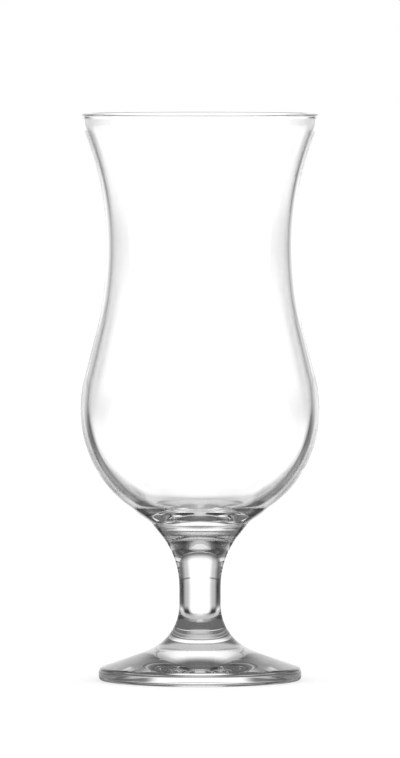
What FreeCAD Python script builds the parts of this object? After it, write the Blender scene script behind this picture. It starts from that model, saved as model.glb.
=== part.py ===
import FreeCAD, Part

import math
import os

import Sketcher

# A footed hurricane glass, in millimetres: a bowl, a short solid stem and a round foot, each made on
# its own and fused hot to the next one, face to face. Z is up, on the axis of the glass, and the
# foot's resting ring lies at z = 0. Each piece is drawn up from its own lower seam.

# One row for each driving size: name, value, meaning.
SIZES = [
    ("foot_radius", 34.9, "foot, widest"),
    ("foot_height", 10.4, "resting ring up to the seam with the stem"),
    ("foot_seam_radius", 17.9, "seam of foot and stem"),
    ("foot_sweep", 190.0, "radius of the hollow sweep of the foot's upper face"),
    ("foot_edge_height", 3.0, "resting ring up to the top of the upright edge"),
    ("foot_top_round", 1.9, "rounding between upper face and edge"),
    ("foot_bottom_round", 1.5, "rounding between edge and resting ring"),
    ("ring_width", 1.4, "flat resting ring that touches the table"),
    ("underside_rise", 0.8, "hollow of the underside, at the axis"),
    ("stem_length", 44.2, "seam with the foot up to the seam with the bowl"),
    ("stem_radius", 7.2, "straight middle of the stem"),
    ("stem_flare_height", 15.5, "lower seam up to the straight middle"),
    ("stem_straight", 6.4, "length of the straight middle"),
    ("stem_run", 5.9, "straight slope under the bowl"),
    ("bowl_seam_radius", 17.2, "seam of stem and bowl"),
    ("bowl_height", 140.4, "seam with the stem up to the rim"),
    ("shoulder_run", 6.8, "straight slope at the bottom of the bowl"),
    ("belly_radius", 41.2, "widest circle of the lower bowl"),
    ("belly_height", 38.6, "seam up to the widest circle"),
    ("hip_drop", 30.4, "narrowest circle down to the straight slope of the hip"),
    ("hip_run", 15.3, "straight slope between waist and belly"),
    ("waist_radius", 32.1, "narrowest circle of the bowl"),
    ("waist_height", 94.9, "seam up to the narrowest circle"),
    ("lip_curve", 8.0, "radius of the turn from the flare into the upright lip"),
    ("lip_drop", 2.8, "rim down to the end of that turn"),
    ("rim_radius", 40.7, "outside of the rim's bead"),
    ("bead_overhang", 0.3, "bead, out from the lip"),
    ("bead_neck", 0.8, "radius of the hollow under the bead"),
    ("lip_wall", 1.2, "wall thickness at the lip"),
    ("waist_wall", 1.9, "wall thickness at the waist"),
    ("belly_wall", 2.75, "wall thickness at the belly"),
    ("well_height", 39.8, "seam up to the widest circle inside"),
    ("floor_thickness", 3.6, "seam up to the bowl's floor"),
    ("floor_radius", 10.8, "flat floor of the bowl"),
    ("floor_corner", 8.3, "radius between floor and wall"),
]

# Sketcher numbers the parts of a stretch in this order, and the sketch's own two axes from -1 down.
PARTS = ("whole", "start", "end", "centre")
AXES = ("level", "upright")
ORIGIN = (-1, PARTS.index("start"))


def make_sheet(doc):
    """Writes the sizes to a spreadsheet, each with its name as alias, and returns them by name."""
    sheet = doc.addObject("Spreadsheet::Sheet", "sizes")
    for row, (name, value, meaning) in enumerate(SIZES, start=1):
        sheet.set(f"A{row}", name)
        sheet.set(f"B{row}", str(value))
        sheet.set(f"C{row}", meaning)
        sheet.setAlias(f"B{row}", name)
    doc.recompute()
    return {name: float(sheet.get(name)) for name, _, _ in SIZES}


class Outline:
    """Half the section of a turned piece: x is the radius, y the height above the piece's seam.

    Stretches are drawn one after another. Their points only start the sketch near its answer: the
    constraints, whose sizes come from the spreadsheet, hold the shape.
    """

    def __init__(self, doc, label):
        self.body = doc.addObject("PartDesign::Body", label)
        self.body.Label = label
        self.planes = {plane.Role: plane for plane in self.body.Origin.OriginFeatures}
        self.sketch = self.body.newObject("Sketcher::SketchObject", f"{label}_section")
        self.sketch.AttachmentSupport = [(self.planes["XZ_Plane"], "")]
        self.sketch.MapMode = "FlatFace"
        self.ends = []
        self.point = None

    def line_to(self, point, joint="Coincident"):
        """Draws a line and returns its number. joint says how it leaves the stretch before it."""
        return self.draw(Part.LineSegment(vector(self.point), vector(point)), "start", point, joint)

    def arc_to(self, point, centre, joint="Coincident", long_way=False):
        """Draws the shorter or the longer arc round the centre and returns its number."""
        first = bearing(centre, self.point)
        turn = (bearing(centre, point) - first + math.pi) % (2 * math.pi) - math.pi
        if long_way:
            turn -= math.copysign(2 * math.pi, turn)
        circle = Part.Circle(vector(centre), FreeCAD.Vector(0, 0, 1), math.dist(centre, point))
        if turn > 0:
            return self.draw(Part.ArcOfCircle(circle, first, first + turn), "start", point, joint)
        return self.draw(Part.ArcOfCircle(circle, first + turn, first), "end", point, joint)

    def draw(self, geometry, near_end, point, joint):
        number = self.sketch.addGeometry(geometry, False)
        far_end = "end" if near_end == "start" else "start"
        self.ends.append({"near": PARTS.index(near_end), "far": PARTS.index(far_end)})
        if number:
            self.join(number - 1, number, joint)
        self.point = point
        return number

    def join(self, before, after, joint):
        ends = (before, self.ends[before]["far"], after, self.ends[after]["near"])
        self.sketch.addConstraint(Sketcher.Constraint(joint, *ends))

    def close(self, start):
        """Draws the last line along the axis, back to the first point."""
        last = self.line_to(start)
        self.join(last, 0, "Coincident")
        self.put_on("upright", last, "start")
        self.put_on("upright", last, "end")

    def put_on(self, axis, stretch, part):
        """Puts the start, end or centre of a stretch on the level or the upright axis."""
        place = (stretch, PARTS.index(part), -1 - AXES.index(axis))
        self.sketch.addConstraint(Sketcher.Constraint("PointOnObject", *place))

    def keep(self, direction, *lines):
        """Keeps lines Horizontal or Vertical."""
        for line in lines:
            self.sketch.addConstraint(Sketcher.Constraint(direction, line))

    def upright(self, arc, end):
        """Makes an arc upright at its near or far end: its centre is level with that end."""
        ends = (arc, PARTS.index("centre"), arc, self.ends[arc][end])
        self.sketch.addConstraint(Sketcher.Constraint("Horizontal", *ends))

    def bind(self, kind, value, expression, *places):
        """Adds a dimension with its present value and ties it to the spreadsheet."""
        index = self.sketch.addConstraint(Sketcher.Constraint(kind, *places, value))
        self.sketch.setExpression(f"Constraints[{index}]", expression)

    def place(self, stretch, end, across=None, up=None):
        """Holds the near or far end of a stretch, or its centre, at a radius and a height."""
        position = PARTS.index(end) if end == "centre" else self.ends[stretch][end]
        here = self.sketch.getPoint(stretch, position)
        if across:
            self.bind("DistanceX", here.x, across, *ORIGIN, stretch, position)
        if up:
            self.bind("DistanceY", here.y, up, *ORIGIN, stretch, position)

    def radius(self, arc, expression):
        self.bind("Radius", self.sketch.Geometry[arc].Radius, expression, arc)

    def length(self, line, expression):
        self.bind("Distance", self.sketch.Geometry[line].length(), expression, line)

    def turn(self, seam_height=None):
        """Turns the section into a solid and stands it at the height of its seam."""
        solid = self.body.newObject("PartDesign::Revolution", f"{self.body.Name}_turned")
        solid.Profile = self.sketch
        solid.ReferenceAxis = (self.planes["Z_Axis"], [""])
        solid.Angle = 360.0
        self.body.Tip = solid
        if seam_height:
            self.body.setExpression("Placement.Base.z", seam_height)
        return self.body


def vector(point):
    return FreeCAD.Vector(point[0], point[1], 0)


def bearing(origin, point):
    return math.atan2(point[1] - origin[1], point[0] - origin[0])


def slope_between(first, last, run):
    """Angle from upright of a straight run that arcs join to two upright ends."""
    return 2 * math.atan((last[0] - first[0]) / (abs(last[1] - first[1]) + run))


def arc_and_run(first, last, run):
    """An arc, upright at first, that passes into a straight run to last: where, and its centre."""
    slope = slope_between(first, last, run)
    rise = math.copysign(run * math.cos(slope), last[1] - first[1])
    joint = (last[0] - run * math.sin(slope), last[1] - rise)
    return joint, (first[0] + abs(joint[1] - first[1]) / math.sin(slope), first[1])


def double_curve(upper, lower, drop, run):
    """Two opposite arcs, upright at upper and lower, with a straight run between them.

    drop is the height of the upper arc. Returns the run's two ends and the two centres.
    """
    slope = slope_between(upper, lower, run)
    top = (upper[0] + drop * math.tan(slope / 2), upper[1] - drop)
    bottom = (top[0] + run * math.sin(slope), top[1] - run * math.cos(slope))
    upper_centre = (upper[0] + drop / math.sin(slope), upper[1])
    lower_centre = (lower[0] - (bottom[1] - lower[1]) / math.sin(slope), lower[1])
    return top, bottom, upper_centre, lower_centre


def apex(first, last, first_side, last_side):
    """Third corner of a triangle on two points, to the left of the way from first to last."""
    base = math.dist(first, last)
    cosine = (base**2 + first_side**2 - last_side**2) / (2 * base * first_side)
    angle = bearing(first, last) + math.acos(cosine)
    return (first[0] + first_side * math.cos(angle), first[1] + first_side * math.sin(angle))


def toward(origin, target, distance):
    """The point at a distance from origin on the way to target."""
    angle = bearing(origin, target)
    return (origin[0] + distance * math.cos(angle), origin[1] + distance * math.sin(angle))


def make_foot(doc, size):
    """Round foot: a hollow-swept upper face, a rounded edge, a flat resting ring, a hollow underside."""
    edge = (size["foot_radius"], size["foot_edge_height"])
    top_round = size["foot_top_round"]
    bottom_round = size["foot_bottom_round"]
    seam = (size["foot_seam_radius"], size["foot_height"])
    ring_outside = size["foot_radius"] - bottom_round
    ring_inside = ring_outside - size["ring_width"]
    round_centre = (edge[0] - top_round, edge[1])
    sweep = size["foot_sweep"]
    sweep_centre = apex(seam, round_centre, sweep, sweep + top_round)
    sweep_end = toward(round_centre, sweep_centre, top_round)
    rise = size["underside_rise"]
    dome_radius = (ring_inside**2 + rise**2) / (2 * rise)

    outline = Outline(doc, "foot")
    outline.point = (0, rise)
    underside = outline.arc_to((ring_inside, 0), (0, rise - dome_radius))
    ring = outline.line_to((ring_outside, 0))
    bottom_arc = outline.arc_to((edge[0], bottom_round), (ring_outside, bottom_round), "Tangent")
    side = outline.line_to(edge, "Tangent")
    top_arc = outline.arc_to(sweep_end, round_centre, "Tangent")
    upper_face = outline.arc_to(seam, sweep_centre, "Tangent")
    seam_face = outline.line_to((0, seam[1]))
    outline.close((0, rise))

    outline.keep("Horizontal", ring, seam_face)
    outline.keep("Vertical", side)
    outline.place(underside, "near", up="sizes.underside_rise")
    outline.put_on("upright", underside, "centre")
    outline.put_on("level", ring, "start")
    outline.length(ring, "sizes.ring_width")
    outline.radius(bottom_arc, "sizes.foot_bottom_round")
    outline.radius(top_arc, "sizes.foot_top_round")
    outline.place(side, "far", across="sizes.foot_radius", up="sizes.foot_edge_height")
    outline.radius(upper_face, "sizes.foot_sweep")
    outline.place(seam_face, "near", across="sizes.foot_seam_radius", up="sizes.foot_height")
    return outline.turn()


def make_stem(doc, size):
    """Solid stem: it flares down into the foot's sweep and up into the slope of the bowl."""
    foot_seam = (size["foot_seam_radius"], 0)
    bowl_seam = (size["bowl_seam_radius"], size["stem_length"])
    narrow_bottom = (size["stem_radius"], size["stem_flare_height"])
    narrow_top = (size["stem_radius"], size["stem_flare_height"] + size["stem_straight"])
    _, flare_centre = arc_and_run(narrow_bottom, foot_seam, 0)
    shoulder, shoulder_centre = arc_and_run(narrow_top, bowl_seam, size["stem_run"])

    outline = Outline(doc, "stem")
    outline.point = (0, 0)
    foot_face = outline.line_to(foot_seam)
    flare = outline.arc_to(narrow_bottom, flare_centre)
    middle = outline.line_to(narrow_top)
    curve = outline.arc_to(shoulder, shoulder_centre)
    run = outline.line_to(bowl_seam, "Tangent")
    bowl_face = outline.line_to((0, bowl_seam[1]))
    outline.close((0, 0))

    outline.put_on("level", foot_face, "end")
    outline.keep("Horizontal", foot_face, bowl_face)
    outline.keep("Vertical", middle)
    outline.place(foot_face, "far", across="sizes.foot_seam_radius")
    outline.upright(flare, "far")
    outline.place(middle, "near", across="sizes.stem_radius", up="sizes.stem_flare_height")
    outline.length(middle, "sizes.stem_straight")
    outline.upright(curve, "near")
    outline.length(run, "sizes.stem_run")
    outline.place(run, "far", across="sizes.bowl_seam_radius", up="sizes.stem_length")
    return outline.turn("sizes.foot_height")


def make_bowl(doc, size):
    """Hollow bowl: outside from the seam up to the rim's bead, then inside down to the floor."""
    rim = size["bowl_height"]
    bead = (size["lip_wall"] + size["bead_overhang"]) / 2
    neck = size["bead_neck"]
    seam = (size["bowl_seam_radius"], 0)
    belly = (size["belly_radius"], size["belly_height"])
    waist = (size["waist_radius"], size["waist_height"])
    lip = (size["rim_radius"] - size["bead_overhang"], rim - size["lip_drop"])
    inner_belly = (belly[0] - size["belly_wall"], size["well_height"])
    inner_waist = (waist[0] - size["waist_wall"], waist[1])
    inner_lip = (lip[0] - size["lip_wall"], lip[1])
    inner_lip_curve = size["lip_curve"] - size["lip_wall"]

    shoulder, well_out = arc_and_run(belly, seam, size["shoulder_run"])
    hip = double_curve(waist, belly, size["hip_drop"], size["hip_run"])
    lip_turn = size["lip_curve"] * abs(math.sin(slope_between(lip, waist, 0)))
    flare = double_curve(lip, waist, lip_turn, 0)
    bead_centre = (size["rim_radius"] - bead, rim - bead)
    neck_across = lip[0] + neck - bead_centre[0]
    neck_centre = (lip[0] + neck, bead_centre[1] - math.sqrt((bead + neck) ** 2 - neck_across**2))
    inner_hip = double_curve(inner_waist, inner_belly, size["hip_drop"], size["hip_run"])
    inner_turn = inner_lip_curve * abs(math.sin(slope_between(inner_lip, inner_waist, 0)))
    inner_flare = double_curve(inner_lip, inner_waist, inner_turn, 0)
    corner = size["floor_corner"]
    corner_centre = (size["floor_radius"], size["floor_thickness"] + corner)
    reach = inner_belly[0] - corner_centre[0]
    depth = inner_belly[1] - corner_centre[1]
    well_radius = (reach**2 + depth**2 - corner**2) / (2 * (reach - corner))
    well_centre = (inner_belly[0] - well_radius, inner_belly[1])

    outline = Outline(doc, "bowl")
    outline.point = (0, 0)
    seam_face = outline.line_to(seam)
    slope = outline.line_to(shoulder)
    lower_belly = outline.arc_to(belly, well_out, "Tangent")
    upper_belly = outline.arc_to(hip[1], hip[3])
    hip_line = outline.line_to(hip[0], "Tangent")
    lower_waist = outline.arc_to(waist, hip[2], "Tangent")
    upper_waist = outline.arc_to(flare[0], flare[3])
    lip_arc = outline.arc_to(lip, flare[2], "Tangent")
    lip_line = outline.line_to((lip[0], neck_centre[1]))
    neck_arc = outline.arc_to(toward(bead_centre, neck_centre, bead), neck_centre, "Tangent")
    bead_end = (inner_lip[0], bead_centre[1])
    bead_arc = outline.arc_to(bead_end, bead_centre, "Tangent", long_way=True)
    inner_lip_line = outline.line_to(inner_lip, "Tangent")
    inner_lip_arc = outline.arc_to(inner_flare[0], inner_flare[2])
    inner_upper_waist = outline.arc_to(inner_waist, inner_flare[3], "Tangent")
    inner_lower_waist = outline.arc_to(inner_hip[0], inner_hip[2])
    inner_hip_line = outline.line_to(inner_hip[1], "Tangent")
    inner_upper_belly = outline.arc_to(inner_belly, inner_hip[3], "Tangent")
    well = outline.arc_to(toward(corner_centre, well_centre, -corner), well_centre)
    corner_arc = outline.arc_to((corner_centre[0], size["floor_thickness"]), corner_centre, "Tangent")
    floor = outline.line_to((0, size["floor_thickness"]), "Tangent")
    outline.close((0, 0))

    outline.put_on("level", seam_face, "end")
    outline.keep("Horizontal", seam_face, floor)
    outline.keep("Vertical", lip_line, inner_lip_line)
    for arc in (lower_belly, lower_waist, lip_arc, inner_upper_waist, inner_upper_belly):
        outline.upright(arc, "far")
    for arc in (upper_belly, upper_waist, inner_lip_arc, inner_lower_waist, well):
        outline.upright(arc, "near")
    outline.place(seam_face, "far", across="sizes.bowl_seam_radius")
    outline.length(slope, "sizes.shoulder_run")
    outline.place(lower_belly, "far", across="sizes.belly_radius", up="sizes.belly_height")
    outline.length(hip_line, "sizes.hip_run")
    outline.place(hip_line, "far", up="sizes.waist_height - sizes.hip_drop")
    outline.place(lower_waist, "far", across="sizes.waist_radius", up="sizes.waist_height")
    outline.radius(lip_arc, "sizes.lip_curve")
    lip_radius = "sizes.rim_radius - sizes.bead_overhang"
    outline.place(lip_arc, "far", across=lip_radius, up="sizes.bowl_height - sizes.lip_drop")
    outline.radius(neck_arc, "sizes.bead_neck")
    bead_radius = "(sizes.lip_wall + sizes.bead_overhang) / 2"
    outline.radius(bead_arc, bead_radius)
    bead_across = f"sizes.rim_radius - {bead_radius}"
    outline.place(bead_arc, "centre", across=bead_across, up=f"sizes.bowl_height - {bead_radius}")
    outline.place(inner_lip_line, "far", up="sizes.bowl_height - sizes.lip_drop")
    outline.radius(inner_lip_arc, "sizes.lip_curve - sizes.lip_wall")
    inner_waist_radius = "sizes.waist_radius - sizes.waist_wall"
    outline.place(inner_upper_waist, "far", across=inner_waist_radius, up="sizes.waist_height")
    outline.length(inner_hip_line, "sizes.hip_run")
    outline.place(inner_hip_line, "near", up="sizes.waist_height - sizes.hip_drop")
    inner_belly_radius = "sizes.belly_radius - sizes.belly_wall"
    outline.place(inner_upper_belly, "far", across=inner_belly_radius, up="sizes.well_height")
    outline.radius(corner_arc, "sizes.floor_corner")
    outline.place(floor, "near", across="sizes.floor_radius", up="sizes.floor_thickness")
    return outline.turn("sizes.foot_height + sizes.stem_length")


def check(doc, bodies):
    """Stops before anything is written if an object failed or a piece is not one sound solid."""
    for item in doc.Objects:
        if "Invalid" in item.State or "Error" in item.State:
            raise RuntimeError(f"{item.Name} failed: {item.State}")
    for body in bodies:
        shape = body.Shape
        if shape.isNull() or not shape.isValid() or len(shape.Solids) != 1:
            raise RuntimeError(f"{body.Label} is not one sound solid")


def main():
    os.makedirs("parts", exist_ok=True)
    doc = FreeCAD.newDocument("hurricane_glass")
    size = make_sheet(doc)
    bodies = [make_foot(doc, size), make_stem(doc, size), make_bowl(doc, size)]
    doc.recompute()
    check(doc, bodies)
    for body in bodies:
        body.Shape.exportStep(f"parts/{body.Label}.step")


main()
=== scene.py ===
import math

import bpy
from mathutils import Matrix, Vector


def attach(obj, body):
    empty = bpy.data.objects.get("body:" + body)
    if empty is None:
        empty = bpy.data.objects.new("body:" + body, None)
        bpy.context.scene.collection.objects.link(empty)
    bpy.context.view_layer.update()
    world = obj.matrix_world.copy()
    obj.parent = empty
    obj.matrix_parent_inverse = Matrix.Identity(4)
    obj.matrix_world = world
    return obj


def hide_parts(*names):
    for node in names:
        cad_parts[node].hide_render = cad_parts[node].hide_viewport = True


# A clear hurricane glass on a white studio floor. The three turned pieces follow the CAD solids:
# their driving sizes are repeated here in millimetres, each piece drawn up from its lower seam.
MM = 0.001

FOOT_RADIUS = 34.9
FOOT_HEIGHT = 10.4
FOOT_SEAM_RADIUS = 17.9
FOOT_SWEEP = 190.0
FOOT_EDGE_HEIGHT = 3.0
FOOT_TOP_ROUND = 1.9
FOOT_BOTTOM_ROUND = 1.5
RING_WIDTH = 1.4
UNDERSIDE_RISE = 0.8

STEM_LENGTH = 44.2
STEM_RADIUS = 7.2
STEM_FLARE_HEIGHT = 15.5
STEM_STRAIGHT = 6.4
STEM_RUN = 5.9

BOWL_SEAM_RADIUS = 17.2
BOWL_HEIGHT = 140.4
SHOULDER_RUN = 6.8
BELLY_RADIUS = 41.2
BELLY_HEIGHT = 38.6
HIP_DROP = 30.4
HIP_RUN = 15.3
WAIST_RADIUS = 32.1
WAIST_HEIGHT = 94.9
LIP_CURVE = 8.0
LIP_DROP = 2.8
RIM_RADIUS = 40.7
BEAD_OVERHANG = 0.3
BEAD_NECK = 0.8
LIP_WALL = 1.2
WAIST_WALL = 1.9
BELLY_WALL = 2.75
WELL_HEIGHT = 39.8
FLOOR_THICKNESS = 3.6
FLOOR_RADIUS = 10.8
FLOOR_CORNER = 8.3

# The turned meshes: steps round the axis, and how far a step along an arc may cut its corner.
STEPS_ROUND = 240
ARC_TOLERANCE = 0.003

GLASS_IOR = 1.52

# The faint waviness of hot-formed glass, drawn out upwards: waves in a metre along each axis,
# and their height in metres.
WAVE_SCALE = (60.0, 60.0, 18.0)
WAVE_DETAIL = 1.0
WAVE_HEIGHT = 0.00003

# The photograph: its camera stands far off, a little above the rim, and looks slightly down.
CAMERA_PLACE = Vector((0.0, -3.48, 0.250))
CAMERA_AIM = Vector((0.0, 0.0, 0.1037))
CAMERA_LENS = 481.0
CAMERA_CLIP = (0.1, 100.0)
SENSOR_LONG_SIDE = 36.0

# How often light may bounce or pass a surface: the neck traps it for many turns.
BOUNCES = 64

# What the glass sees around it, as levels of light by angle in degrees, where 1 is white. AROUND
# and HIGH go by azimuth from +Y, behind the glass in the photograph, alike to left and right: a
# white panel with dark flags beside it. BELOW is the far floor, by the whole angle from +Y.
AROUND = ((0, 1.0), (13, 1.0), (19, 0.85), (25, 0.5), (31, 0.44), (38, 0.2), (46, 0.03), (60, 0.08),
          (150, 0.04), (180, 0.12))
HIGH = ((0, 0.13), (25, 0.13), (45, 0.02), (120, 0.03), (180, 0.12))
BELOW = ((0, 1.0), (20, 1.0), (24, 0.5), (28, 0.03), (38, 0.03), (50, 0.85), (180, 0.85))
ZENITH_LEVEL = 0.18
APEX_LEVEL = 0.7

# The floor straight behind the glass is a white strip, which is less bright nearer to the glass.
STRIP_BESIDE = (7, 10)
STRIP_LEVEL = 0.6

# A thin dark ledge just above the horizon, on both sides of the panel.
LEDGE_BESIDE = (16, 24)
LEDGE_DARK = 0.7

# Makes up for the light that the glass's own surfaces reflect away.
PANEL_GAIN = 1.2

# Between which heights of a direction, as sines of its elevation, one level passes into the next.
STRIP_FROM = (-0.44, -0.31)
BELOW_FROM = (-0.25, -0.05)
LEDGE_FROM = (0.054, 0.066)
LEDGE_TO = (0.077, 0.089)
HIGH_FROM = (0.35, 0.62)
ZENITH_FROM = (0.88, 0.98)
APEX_FROM = (0.94, 0.99)

# Round white windows in the flags, for the other sides that the glass is looked at from:
# azimuth, elevation, and the radii where the white ends and where the flag begins, in degrees.
WINDOWS = ((45, -25, 5, 11), (90, -6, 6, 11), (135, -15, 6, 12))

# The floor as the camera sees it: its size in metres, its grey, and its glow, which make white.
STUDIO_FLOOR_RADIUS = 4.0
STUDIO_FLOOR_SIDES = 96
PAPER_COLOUR = 0.5
PAPER_GLOW = 0.58

# The floor under and round the foot as the glass sees it: levels of light, and between which
# radii in metres, or angles from +Y in degrees, they pass into each other.
FOOT_SHADE = 0.15
FOOT_LIT = 0.6
RIM_LIT = 0.6
LIT_FROM = (0.017, 0.023)
LIT_WITHIN = (1, 6)
RIM_FROM = (0.036, 0.044)
RIM_ENDS = (0.066, 0.074)
NEAR_ENDS = (0.045, 0.1)


# ---------------------------------------------------------------- outlines in the r, z plane

def bearing(origin, point):
    return math.atan2(point[1] - origin[1], point[0] - origin[0])


def toward(origin, target, distance):
    """The point at a distance from origin on the way to target."""
    angle = bearing(origin, target)
    return (origin[0] + distance * math.cos(angle), origin[1] + distance * math.sin(angle))


def apex(first, last, first_side, last_side):
    """Third corner of a triangle on two points, to the left of the way from first to last."""
    base = math.dist(first, last)
    cosine = (base**2 + first_side**2 - last_side**2) / (2 * base * first_side)
    angle = bearing(first, last) + math.acos(cosine)
    return (first[0] + first_side * math.cos(angle), first[1] + first_side * math.sin(angle))


def slope_between(first, last, run):
    """Angle from upright of a straight run that arcs join to two upright ends."""
    return 2 * math.atan((last[0] - first[0]) / (abs(last[1] - first[1]) + run))


def arc_and_run(first, last, run):
    """An arc, upright at first, that passes into a straight run to last: where, and its centre."""
    slope = slope_between(first, last, run)
    rise = math.copysign(run * math.cos(slope), last[1] - first[1])
    joint = (last[0] - run * math.sin(slope), last[1] - rise)
    return joint, (first[0] + abs(joint[1] - first[1]) / math.sin(slope), first[1])


def double_curve(upper, lower, drop, run):
    """Two opposite arcs, upright at upper and lower, with a straight run between them.

    drop is the height of the upper arc. Returns the run's two ends and the two centres.
    """
    slope = slope_between(upper, lower, run)
    top = (upper[0] + drop * math.tan(slope / 2), upper[1] - drop)
    bottom = (top[0] + run * math.sin(slope), top[1] - run * math.cos(slope))
    upper_centre = (upper[0] + drop / math.sin(slope), upper[1])
    lower_centre = (lower[0] - (bottom[1] - lower[1]) / math.sin(slope), lower[1])
    return top, bottom, upper_centre, lower_centre


class Outline:
    """Half a section, from a point on the axis back to a point on the axis."""

    def __init__(self, start):
        self.points = [start]
        self.sharp = set()
        self.hidden = set()

    def line_to(self, point, sharp=False, hidden=False):
        """A straight stretch. sharp: it meets the one before at an edge. hidden: a fused seam."""
        if sharp:
            self.sharp.add(len(self.points) - 1)
        if hidden:
            self.hidden.add(len(self.points) - 1)
        self.points.append(point)

    def arc_to(self, point, centre, sharp=False, long_way=False):
        """The shorter or longer arc round the centre, in steps that keep to the tolerance."""
        if sharp:
            self.sharp.add(len(self.points) - 1)
        first = bearing(centre, self.points[-1])
        turn = (bearing(centre, point) - first + math.pi) % (2 * math.pi) - math.pi
        if long_way:
            turn -= math.copysign(2 * math.pi, turn)
        radius = math.dist(centre, point)
        widest_step = math.sqrt(8 * ARC_TOLERANCE / radius)
        steps = max(2, math.ceil(abs(turn) / widest_step))
        for step in range(1, steps):
            angle = first + turn * step / steps
            self.points.append((centre[0] + radius * math.cos(angle),
                                centre[1] + radius * math.sin(angle)))
        self.points.append(point)


def foot_outline():
    edge = (FOOT_RADIUS, FOOT_EDGE_HEIGHT)
    seam = (FOOT_SEAM_RADIUS, FOOT_HEIGHT)
    ring_outside = FOOT_RADIUS - FOOT_BOTTOM_ROUND
    ring_inside = ring_outside - RING_WIDTH
    dome_radius = (ring_inside**2 + UNDERSIDE_RISE**2) / (2 * UNDERSIDE_RISE)
    round_centre = (FOOT_RADIUS - FOOT_TOP_ROUND, FOOT_EDGE_HEIGHT)
    sweep_centre = apex(seam, round_centre, FOOT_SWEEP, FOOT_SWEEP + FOOT_TOP_ROUND)

    outline = Outline((0.0, UNDERSIDE_RISE))
    outline.arc_to((ring_inside, 0.0), (0.0, UNDERSIDE_RISE - dome_radius))
    outline.line_to((ring_outside, 0.0), sharp=True)
    outline.arc_to((FOOT_RADIUS, FOOT_BOTTOM_ROUND), (ring_outside, FOOT_BOTTOM_ROUND))
    outline.line_to(edge)
    outline.arc_to(toward(round_centre, sweep_centre, FOOT_TOP_ROUND), round_centre)
    outline.arc_to(seam, sweep_centre)
    outline.line_to((0.0, FOOT_HEIGHT), sharp=True, hidden=True)
    return outline


def stem_outline():
    foot_seam = (FOOT_SEAM_RADIUS, 0.0)
    bowl_seam = (BOWL_SEAM_RADIUS, STEM_LENGTH)
    narrow_bottom = (STEM_RADIUS, STEM_FLARE_HEIGHT)
    narrow_top = (STEM_RADIUS, STEM_FLARE_HEIGHT + STEM_STRAIGHT)
    _, flare_centre = arc_and_run(narrow_bottom, foot_seam, 0)
    shoulder, shoulder_centre = arc_and_run(narrow_top, bowl_seam, STEM_RUN)

    outline = Outline((0.0, 0.0))
    outline.line_to(foot_seam, hidden=True)
    outline.arc_to(narrow_bottom, flare_centre, sharp=True)
    outline.line_to(narrow_top)
    outline.arc_to(shoulder, shoulder_centre)
    outline.line_to(bowl_seam)
    outline.line_to((0.0, STEM_LENGTH), sharp=True, hidden=True)
    return outline


def bowl_outline():
    bead = (LIP_WALL + BEAD_OVERHANG) / 2
    seam = (BOWL_SEAM_RADIUS, 0.0)
    belly = (BELLY_RADIUS, BELLY_HEIGHT)
    waist = (WAIST_RADIUS, WAIST_HEIGHT)
    lip = (RIM_RADIUS - BEAD_OVERHANG, BOWL_HEIGHT - LIP_DROP)
    inner_belly = (BELLY_RADIUS - BELLY_WALL, WELL_HEIGHT)
    inner_waist = (WAIST_RADIUS - WAIST_WALL, WAIST_HEIGHT)
    inner_lip = (lip[0] - LIP_WALL, lip[1])
    shoulder, belly_centre = arc_and_run(belly, seam, SHOULDER_RUN)
    hip = double_curve(waist, belly, HIP_DROP, HIP_RUN)
    lip_turn = LIP_CURVE * abs(math.sin(slope_between(lip, waist, 0)))
    flare = double_curve(lip, waist, lip_turn, 0)
    bead_centre = (RIM_RADIUS - bead, BOWL_HEIGHT - bead)
    neck_across = lip[0] + BEAD_NECK - bead_centre[0]
    neck_drop = math.sqrt((bead + BEAD_NECK) ** 2 - neck_across**2)
    neck_centre = (lip[0] + BEAD_NECK, bead_centre[1] - neck_drop)
    inner_hip = double_curve(inner_waist, inner_belly, HIP_DROP, HIP_RUN)
    inner_turn = (LIP_CURVE - LIP_WALL) * abs(math.sin(slope_between(inner_lip, inner_waist, 0)))
    inner_flare = double_curve(inner_lip, inner_waist, inner_turn, 0)
    corner_centre = (FLOOR_RADIUS, FLOOR_THICKNESS + FLOOR_CORNER)
    reach = inner_belly[0] - corner_centre[0]
    depth = inner_belly[1] - corner_centre[1]
    well_radius = (reach**2 + depth**2 - FLOOR_CORNER**2) / (2 * (reach - FLOOR_CORNER))
    well_centre = (inner_belly[0] - well_radius, inner_belly[1])

    outline = Outline((0.0, 0.0))
    outline.line_to(seam, hidden=True)
    outline.line_to(shoulder, sharp=True)
    outline.arc_to(belly, belly_centre)
    outline.arc_to(hip[1], hip[3])
    outline.line_to(hip[0])
    outline.arc_to(waist, hip[2])
    outline.arc_to(flare[0], flare[3])
    outline.arc_to(lip, flare[2])
    outline.line_to((lip[0], neck_centre[1]))
    outline.arc_to(toward(bead_centre, neck_centre, bead), neck_centre)
    outline.arc_to((inner_lip[0], bead_centre[1]), bead_centre, long_way=True)
    outline.line_to(inner_lip)
    outline.arc_to(inner_flare[0], inner_flare[2])
    outline.arc_to(inner_waist, inner_flare[3])
    outline.arc_to(inner_hip[0], inner_hip[2])
    outline.line_to(inner_hip[1])
    outline.arc_to(inner_belly, inner_hip[3])
    outline.arc_to(toward(corner_centre, well_centre, -FLOOR_CORNER), well_centre)
    outline.arc_to((FLOOR_RADIUS, FLOOR_THICKNESS), corner_centre)
    outline.line_to((0.0, FLOOR_THICKNESS))
    return outline


# ---------------------------------------------------------------- meshes

def on_circle(radius, step, steps, z):
    angle = 2 * math.pi * step / steps
    return (radius * math.cos(angle), radius * math.sin(angle), z)


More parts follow.
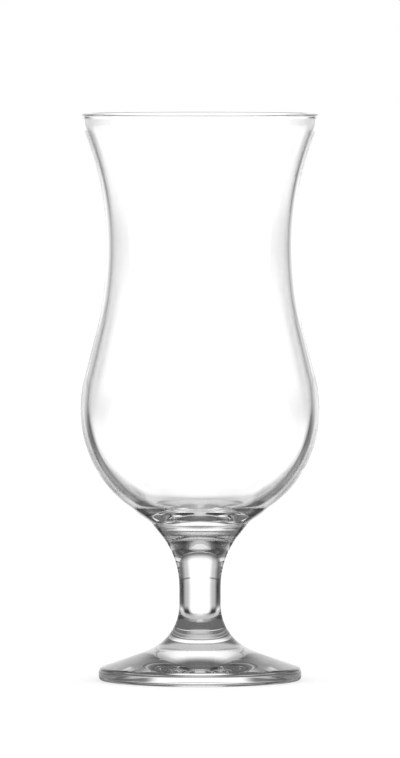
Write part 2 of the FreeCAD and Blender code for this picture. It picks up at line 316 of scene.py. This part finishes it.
def turned_mesh(name, outline, seam_height):
    """Turns an outline round the axis into a closed smooth mesh, standing at its seam's height."""
    verts = []
    rings = []
    for radius, height in outline.points:
        z = (height + seam_height) * MM
        if radius == 0.0:
            rings.append([len(verts)] * STEPS_ROUND)
            verts.append((0.0, 0.0, z))
            continue
        rings.append(list(range(len(verts), len(verts) + STEPS_ROUND)))
        verts.extend(on_circle(radius * MM, step, STEPS_ROUND, z) for step in range(STEPS_ROUND))

    faces = []
    slots = []
    for number, (lower, upper) in enumerate(zip(rings, rings[1:])):
        for step in range(STEPS_ROUND):
            after = (step + 1) % STEPS_ROUND
            corners = (lower[step], lower[after], upper[after], upper[step])
            faces.append(tuple(dict.fromkeys(corners)))
            slots.append(int(number in outline.hidden))

    mesh = bpy.data.meshes.new(name)
    mesh.from_pydata(verts, [], faces)
    mesh.polygons.foreach_set("use_smooth", [True] * len(faces))
    mesh.polygons.foreach_set("material_index", slots)
    sharp_edges = {frozenset(pair) for number in outline.sharp
                   for pair in zip(rings[number], rings[number][1:] + rings[number][:1])}
    for edge in mesh.edges:
        edge.use_edge_sharp = frozenset(edge.vertices) in sharp_edges
    mesh.update()
    return add_object(name, mesh)


def add_object(name, data):
    made = bpy.data.objects.new(name, data)
    bpy.context.scene.collection.objects.link(made)
    return made


# ---------------------------------------------------------------- nodes

class Nodes:
    """Short ways to add linked nodes to one tree."""

    def __init__(self, tree):
        self.tree = tree

    def add(self, kind, **settings):
        node = self.tree.nodes.new(kind)
        for name, value in settings.items():
            setattr(node, name, value)
        return node

    def feed(self, socket, value):
        if isinstance(value, bpy.types.NodeSocket):
            self.tree.links.new(value, socket)
        else:
            socket.default_value = value

    def math(self, operation, *values):
        node = self.add("ShaderNodeMath", operation=operation)
        for socket, value in zip(node.inputs, values):
            self.feed(socket, value)
        return node.outputs["Value"]

    def step(self, value, limits):
        """0 below the first limit, 1 above the second, and smooth between them."""
        node = self.add("ShaderNodeMapRange", interpolation_type="SMOOTHSTEP")
        self.feed(node.inputs["Value"], value)
        node.inputs["From Min"].default_value, node.inputs["From Max"].default_value = limits
        return node.outputs["Result"]

    def mix(self, factor, first, second):
        node = self.add("ShaderNodeMix", data_type="FLOAT")
        sockets = (node.inputs[0], node.inputs[2], node.inputs[3])
        for socket, value in zip(sockets, (factor, first, second)):
            self.feed(socket, value)
        return node.outputs[0]

    def mix_shader(self, factor, first, second):
        node = self.add("ShaderNodeMixShader")
        for socket, value in zip(node.inputs, (factor, first, second)):
            self.feed(socket, value)
        return node.outputs["Shader"]

    def profile(self, turn, stops):
        """A level that follows stops of degrees and level."""
        node = self.add("ShaderNodeValToRGB")
        elements = node.color_ramp.elements
        while len(elements) < len(stops):
            elements.new(1.0)
        for element, (degrees, level) in zip(elements, stops):
            element.position = degrees / 180
            element.color = (level, level, level, 1.0)
        self.feed(node.inputs["Fac"], turn)
        return node.outputs["Color"]

    def split(self, vector):
        node = self.add("ShaderNodeSeparateXYZ")
        self.feed(node.inputs["Vector"], vector)
        return node.outputs["X"], node.outputs["Y"], node.outputs["Z"]

    def turn(self, x, y):
        """How far a place or direction is turned from +Y to either side: 1 is a half turn."""
        return self.math("DIVIDE", self.math("ARCTAN2", self.math("ABSOLUTE", x), y), math.pi)

    def beside(self, turn, limits):
        """0 within the first limit from +Y, in degrees, and 1 past the second."""
        return self.step(turn, tuple(degrees / 180 for degrees in limits))

    def level(self, kind, strength):
        """A white emission or background of a strength."""
        node = self.add(kind)
        node.inputs["Color"].default_value = (1.0, 1.0, 1.0, 1.0)
        self.feed(node.inputs["Strength"], strength)
        return node.outputs[0]

    def ray_kinds(self):
        """Whether a ray comes from the camera, and whether it comes out of glass or off gloss."""
        rays = self.add("ShaderNodeLightPath").outputs
        in_glass = self.math("MAXIMUM", rays["Is Transmission Ray"], rays["Is Glossy Ray"])
        return rays["Is Camera Ray"], in_glass


# ---------------------------------------------------------------- materials

def glass_material():
    """Clear glass, smooth but for a faint waviness."""
    material = bpy.data.materials.new("clear_glass")
    material.use_nodes = True
    n = Nodes(material.node_tree)
    shader = n.tree.nodes["Principled BSDF"]
    shader.inputs["Base Color"].default_value = (1.0, 1.0, 1.0, 1.0)
    shader.inputs["Roughness"].default_value = 0.0
    shader.inputs["IOR"].default_value = GLASS_IOR
    shader.inputs["Transmission Weight"].default_value = 1.0

    drawn = n.add("ShaderNodeMapping")
    drawn.inputs["Scale"].default_value = WAVE_SCALE
    n.feed(drawn.inputs["Vector"], n.add("ShaderNodeTexCoord").outputs["Object"])
    waves = n.add("ShaderNodeTexNoise")
    waves.inputs["Scale"].default_value = 1.0
    waves.inputs["Detail"].default_value = WAVE_DETAIL
    n.feed(waves.inputs["Vector"], drawn.outputs["Vector"])
    bump = n.add("ShaderNodeBump")
    bump.inputs["Strength"].default_value = 1.0
    bump.inputs["Distance"].default_value = WAVE_HEIGHT
    n.feed(bump.inputs["Height"], waves.outputs["Fac"])
    n.feed(shader.inputs["Normal"], bump.outputs["Normal"])
    return material


def seam_material():
    """The fused faces inside the glass: nothing is seen or bent there."""
    material = bpy.data.materials.new("fused_seam")
    material.use_nodes = True
    n = Nodes(material.node_tree)
    n.tree.nodes.remove(n.tree.nodes["Principled BSDF"])
    clear = n.add("ShaderNodeBsdfTransparent")
    n.feed(n.tree.nodes["Material Output"].inputs["Surface"], clear.outputs["BSDF"])
    return material


def floor_material():
    """White to the camera, with the glass's shadow.

    To the glass it is shaded under the foot, with a lit wedge and a lit ring. Further out the
    glass sees through it, to the world.
    """
    material = bpy.data.materials.new("studio_floor")
    material.use_nodes = True
    n = Nodes(material.node_tree)
    to_camera, in_glass = n.ray_kinds()

    x, y, _ = n.split(n.add("ShaderNodeNewGeometry").outputs["Position"])
    squares = n.math("ADD", n.math("POWER", x, 2.0), n.math("POWER", y, 2.0))
    radius = n.math("SQRT", squares)
    wedge = n.math("SUBTRACT", 1.0, n.beside(n.turn(x, y), LIT_WITHIN))
    lit = n.math("MULTIPLY", wedge, n.step(radius, LIT_FROM))
    ring = n.math("SUBTRACT", n.step(radius, RIM_FROM), n.step(radius, RIM_ENDS))
    shade = n.mix(ring, FOOT_SHADE, RIM_LIT)
    near = n.level("ShaderNodeEmission", n.mix(lit, shade, FOOT_LIT))
    clear = n.add("ShaderNodeBsdfTransparent").outputs["BSDF"]
    seen_by_glass = n.mix_shader(n.step(radius, NEAR_ENDS), near, clear)

    paper = n.tree.nodes["Principled BSDF"]
    paper.inputs["Base Color"].default_value = (PAPER_COLOUR, PAPER_COLOUR, PAPER_COLOUR, 1.0)
    paper.inputs["Roughness"].default_value = 1.0
    paper.inputs["Specular IOR Level"].default_value = 0.0
    glow = n.level("ShaderNodeEmission", n.math("MULTIPLY", to_camera, PAPER_GLOW))
    white = n.add("ShaderNodeAddShader")
    n.feed(white.inputs[0], paper.outputs["BSDF"])
    n.feed(white.inputs[1], glow)

    surface = n.mix_shader(in_glass, white.outputs["Shader"], seen_by_glass)
    n.feed(n.tree.nodes["Material Output"].inputs["Surface"], surface)
    return material


# ---------------------------------------------------------------- studio

def studio_world():
    """White to the camera and even to the floor; panel, flags and windows to the glass."""
    world = bpy.data.worlds.new("studio")
    bpy.context.scene.world = world
    world.use_nodes = True
    world.node_tree.nodes.clear()
    n = Nodes(world.node_tree)
    x, y, height = n.split(n.add("ShaderNodeTexCoord").outputs["Generated"])
    turn = n.turn(x, y)

    zenith = n.mix(n.step(height, APEX_FROM), ZENITH_LEVEL, APEX_LEVEL)
    high = n.mix(n.step(height, ZENITH_FROM), n.profile(turn, HIGH), zenith)
    ledge = n.math("SUBTRACT", n.step(height, LEDGE_FROM), n.step(height, LEDGE_TO))
    ledge = n.math("MULTIPLY", ledge, n.beside(turn, LEDGE_BESIDE))
    kept = n.math("MULTIPLY_ADD", ledge, -LEDGE_DARK, 1.0)
    around = n.math("MULTIPLY", n.profile(turn, AROUND), kept)
    level = n.mix(n.step(height, HIGH_FROM), around, high)
    spread = n.math("DIVIDE", n.math("ARCCOSINE", y), math.pi)
    strip = n.mix(n.step(height, STRIP_FROM), STRIP_LEVEL, 1.0)
    below = n.mix(n.beside(turn, STRIP_BESIDE), strip, n.profile(spread, BELOW))
    level = n.mix(n.step(height, BELOW_FROM), below, level)

    for window in WINDOWS:
        azimuth, elevation, white, flag = map(math.radians, window)
        across = math.cos(elevation) * math.sin(azimuth)
        along = math.cos(elevation) * math.cos(azimuth)
        nearness = n.math("MULTIPLY", n.math("ABSOLUTE", x), across)
        nearness = n.math("MULTIPLY_ADD", y, along, nearness)
        nearness = n.math("MULTIPLY_ADD", height, math.sin(elevation), nearness)
        level = n.mix(n.step(nearness, (math.cos(flag), math.cos(white))), level, 1.0)

    _, in_glass = n.ray_kinds()
    level = n.mix(in_glass, 1.0, n.math("MULTIPLY", level, PANEL_GAIN))
    output = n.add("ShaderNodeOutputWorld")
    n.feed(output.inputs["Surface"], n.level("ShaderNodeBackground", level))


def studio_floor():
    mesh = bpy.data.meshes.new("studio_floor")
    verts = [on_circle(STUDIO_FLOOR_RADIUS, side, STUDIO_FLOOR_SIDES, 0.0)
             for side in range(STUDIO_FLOOR_SIDES)]
    mesh.from_pydata(verts, [], [tuple(range(STUDIO_FLOOR_SIDES))])
    floor = add_object("studio_floor", mesh)
    floor.data.materials.append(floor_material())


def photo_camera():
    data = bpy.data.cameras.new("photo_camera")
    data.lens = CAMERA_LENS
    data.sensor_width = SENSOR_LONG_SIDE
    data.clip_start, data.clip_end = CAMERA_CLIP
    camera = add_object("photo_camera", data)
    camera.location = CAMERA_PLACE
    camera.rotation_euler = (CAMERA_AIM - CAMERA_PLACE).to_track_quat("-Z", "Y").to_euler()
    bpy.context.scene.camera = camera


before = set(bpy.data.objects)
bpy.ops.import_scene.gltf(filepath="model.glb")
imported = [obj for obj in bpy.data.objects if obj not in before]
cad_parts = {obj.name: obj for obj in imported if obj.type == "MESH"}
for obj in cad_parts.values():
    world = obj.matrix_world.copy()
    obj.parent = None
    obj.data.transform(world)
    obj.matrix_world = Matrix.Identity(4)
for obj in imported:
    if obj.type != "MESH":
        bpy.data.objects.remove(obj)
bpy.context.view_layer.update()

bpy.context.scene.view_settings.view_transform = "Standard"
photo_camera()
studio_world()
studio_floor()

glass = glass_material()
seam = seam_material()
PIECES = (
    ("foot_glass", "foot", foot_outline(), 0.0),
    ("stem_glass", "stem", stem_outline(), FOOT_HEIGHT),
    ("bowl_glass", "bowl", bowl_outline(), FOOT_HEIGHT + STEM_LENGTH),
)
for piece_name, node, outline, seam_height in PIECES:
    piece = turned_mesh(piece_name, outline, seam_height)
    piece.data.materials.append(glass)
    piece.data.materials.append(seam)
    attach(piece, "root")
    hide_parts(node)

cycles = bpy.context.scene.cycles
cycles.max_bounces = BOUNCES
cycles.transmission_bounces = BOUNCES
cycles.glossy_bounces = BOUNCES
cycles.transparent_max_bounces = BOUNCES
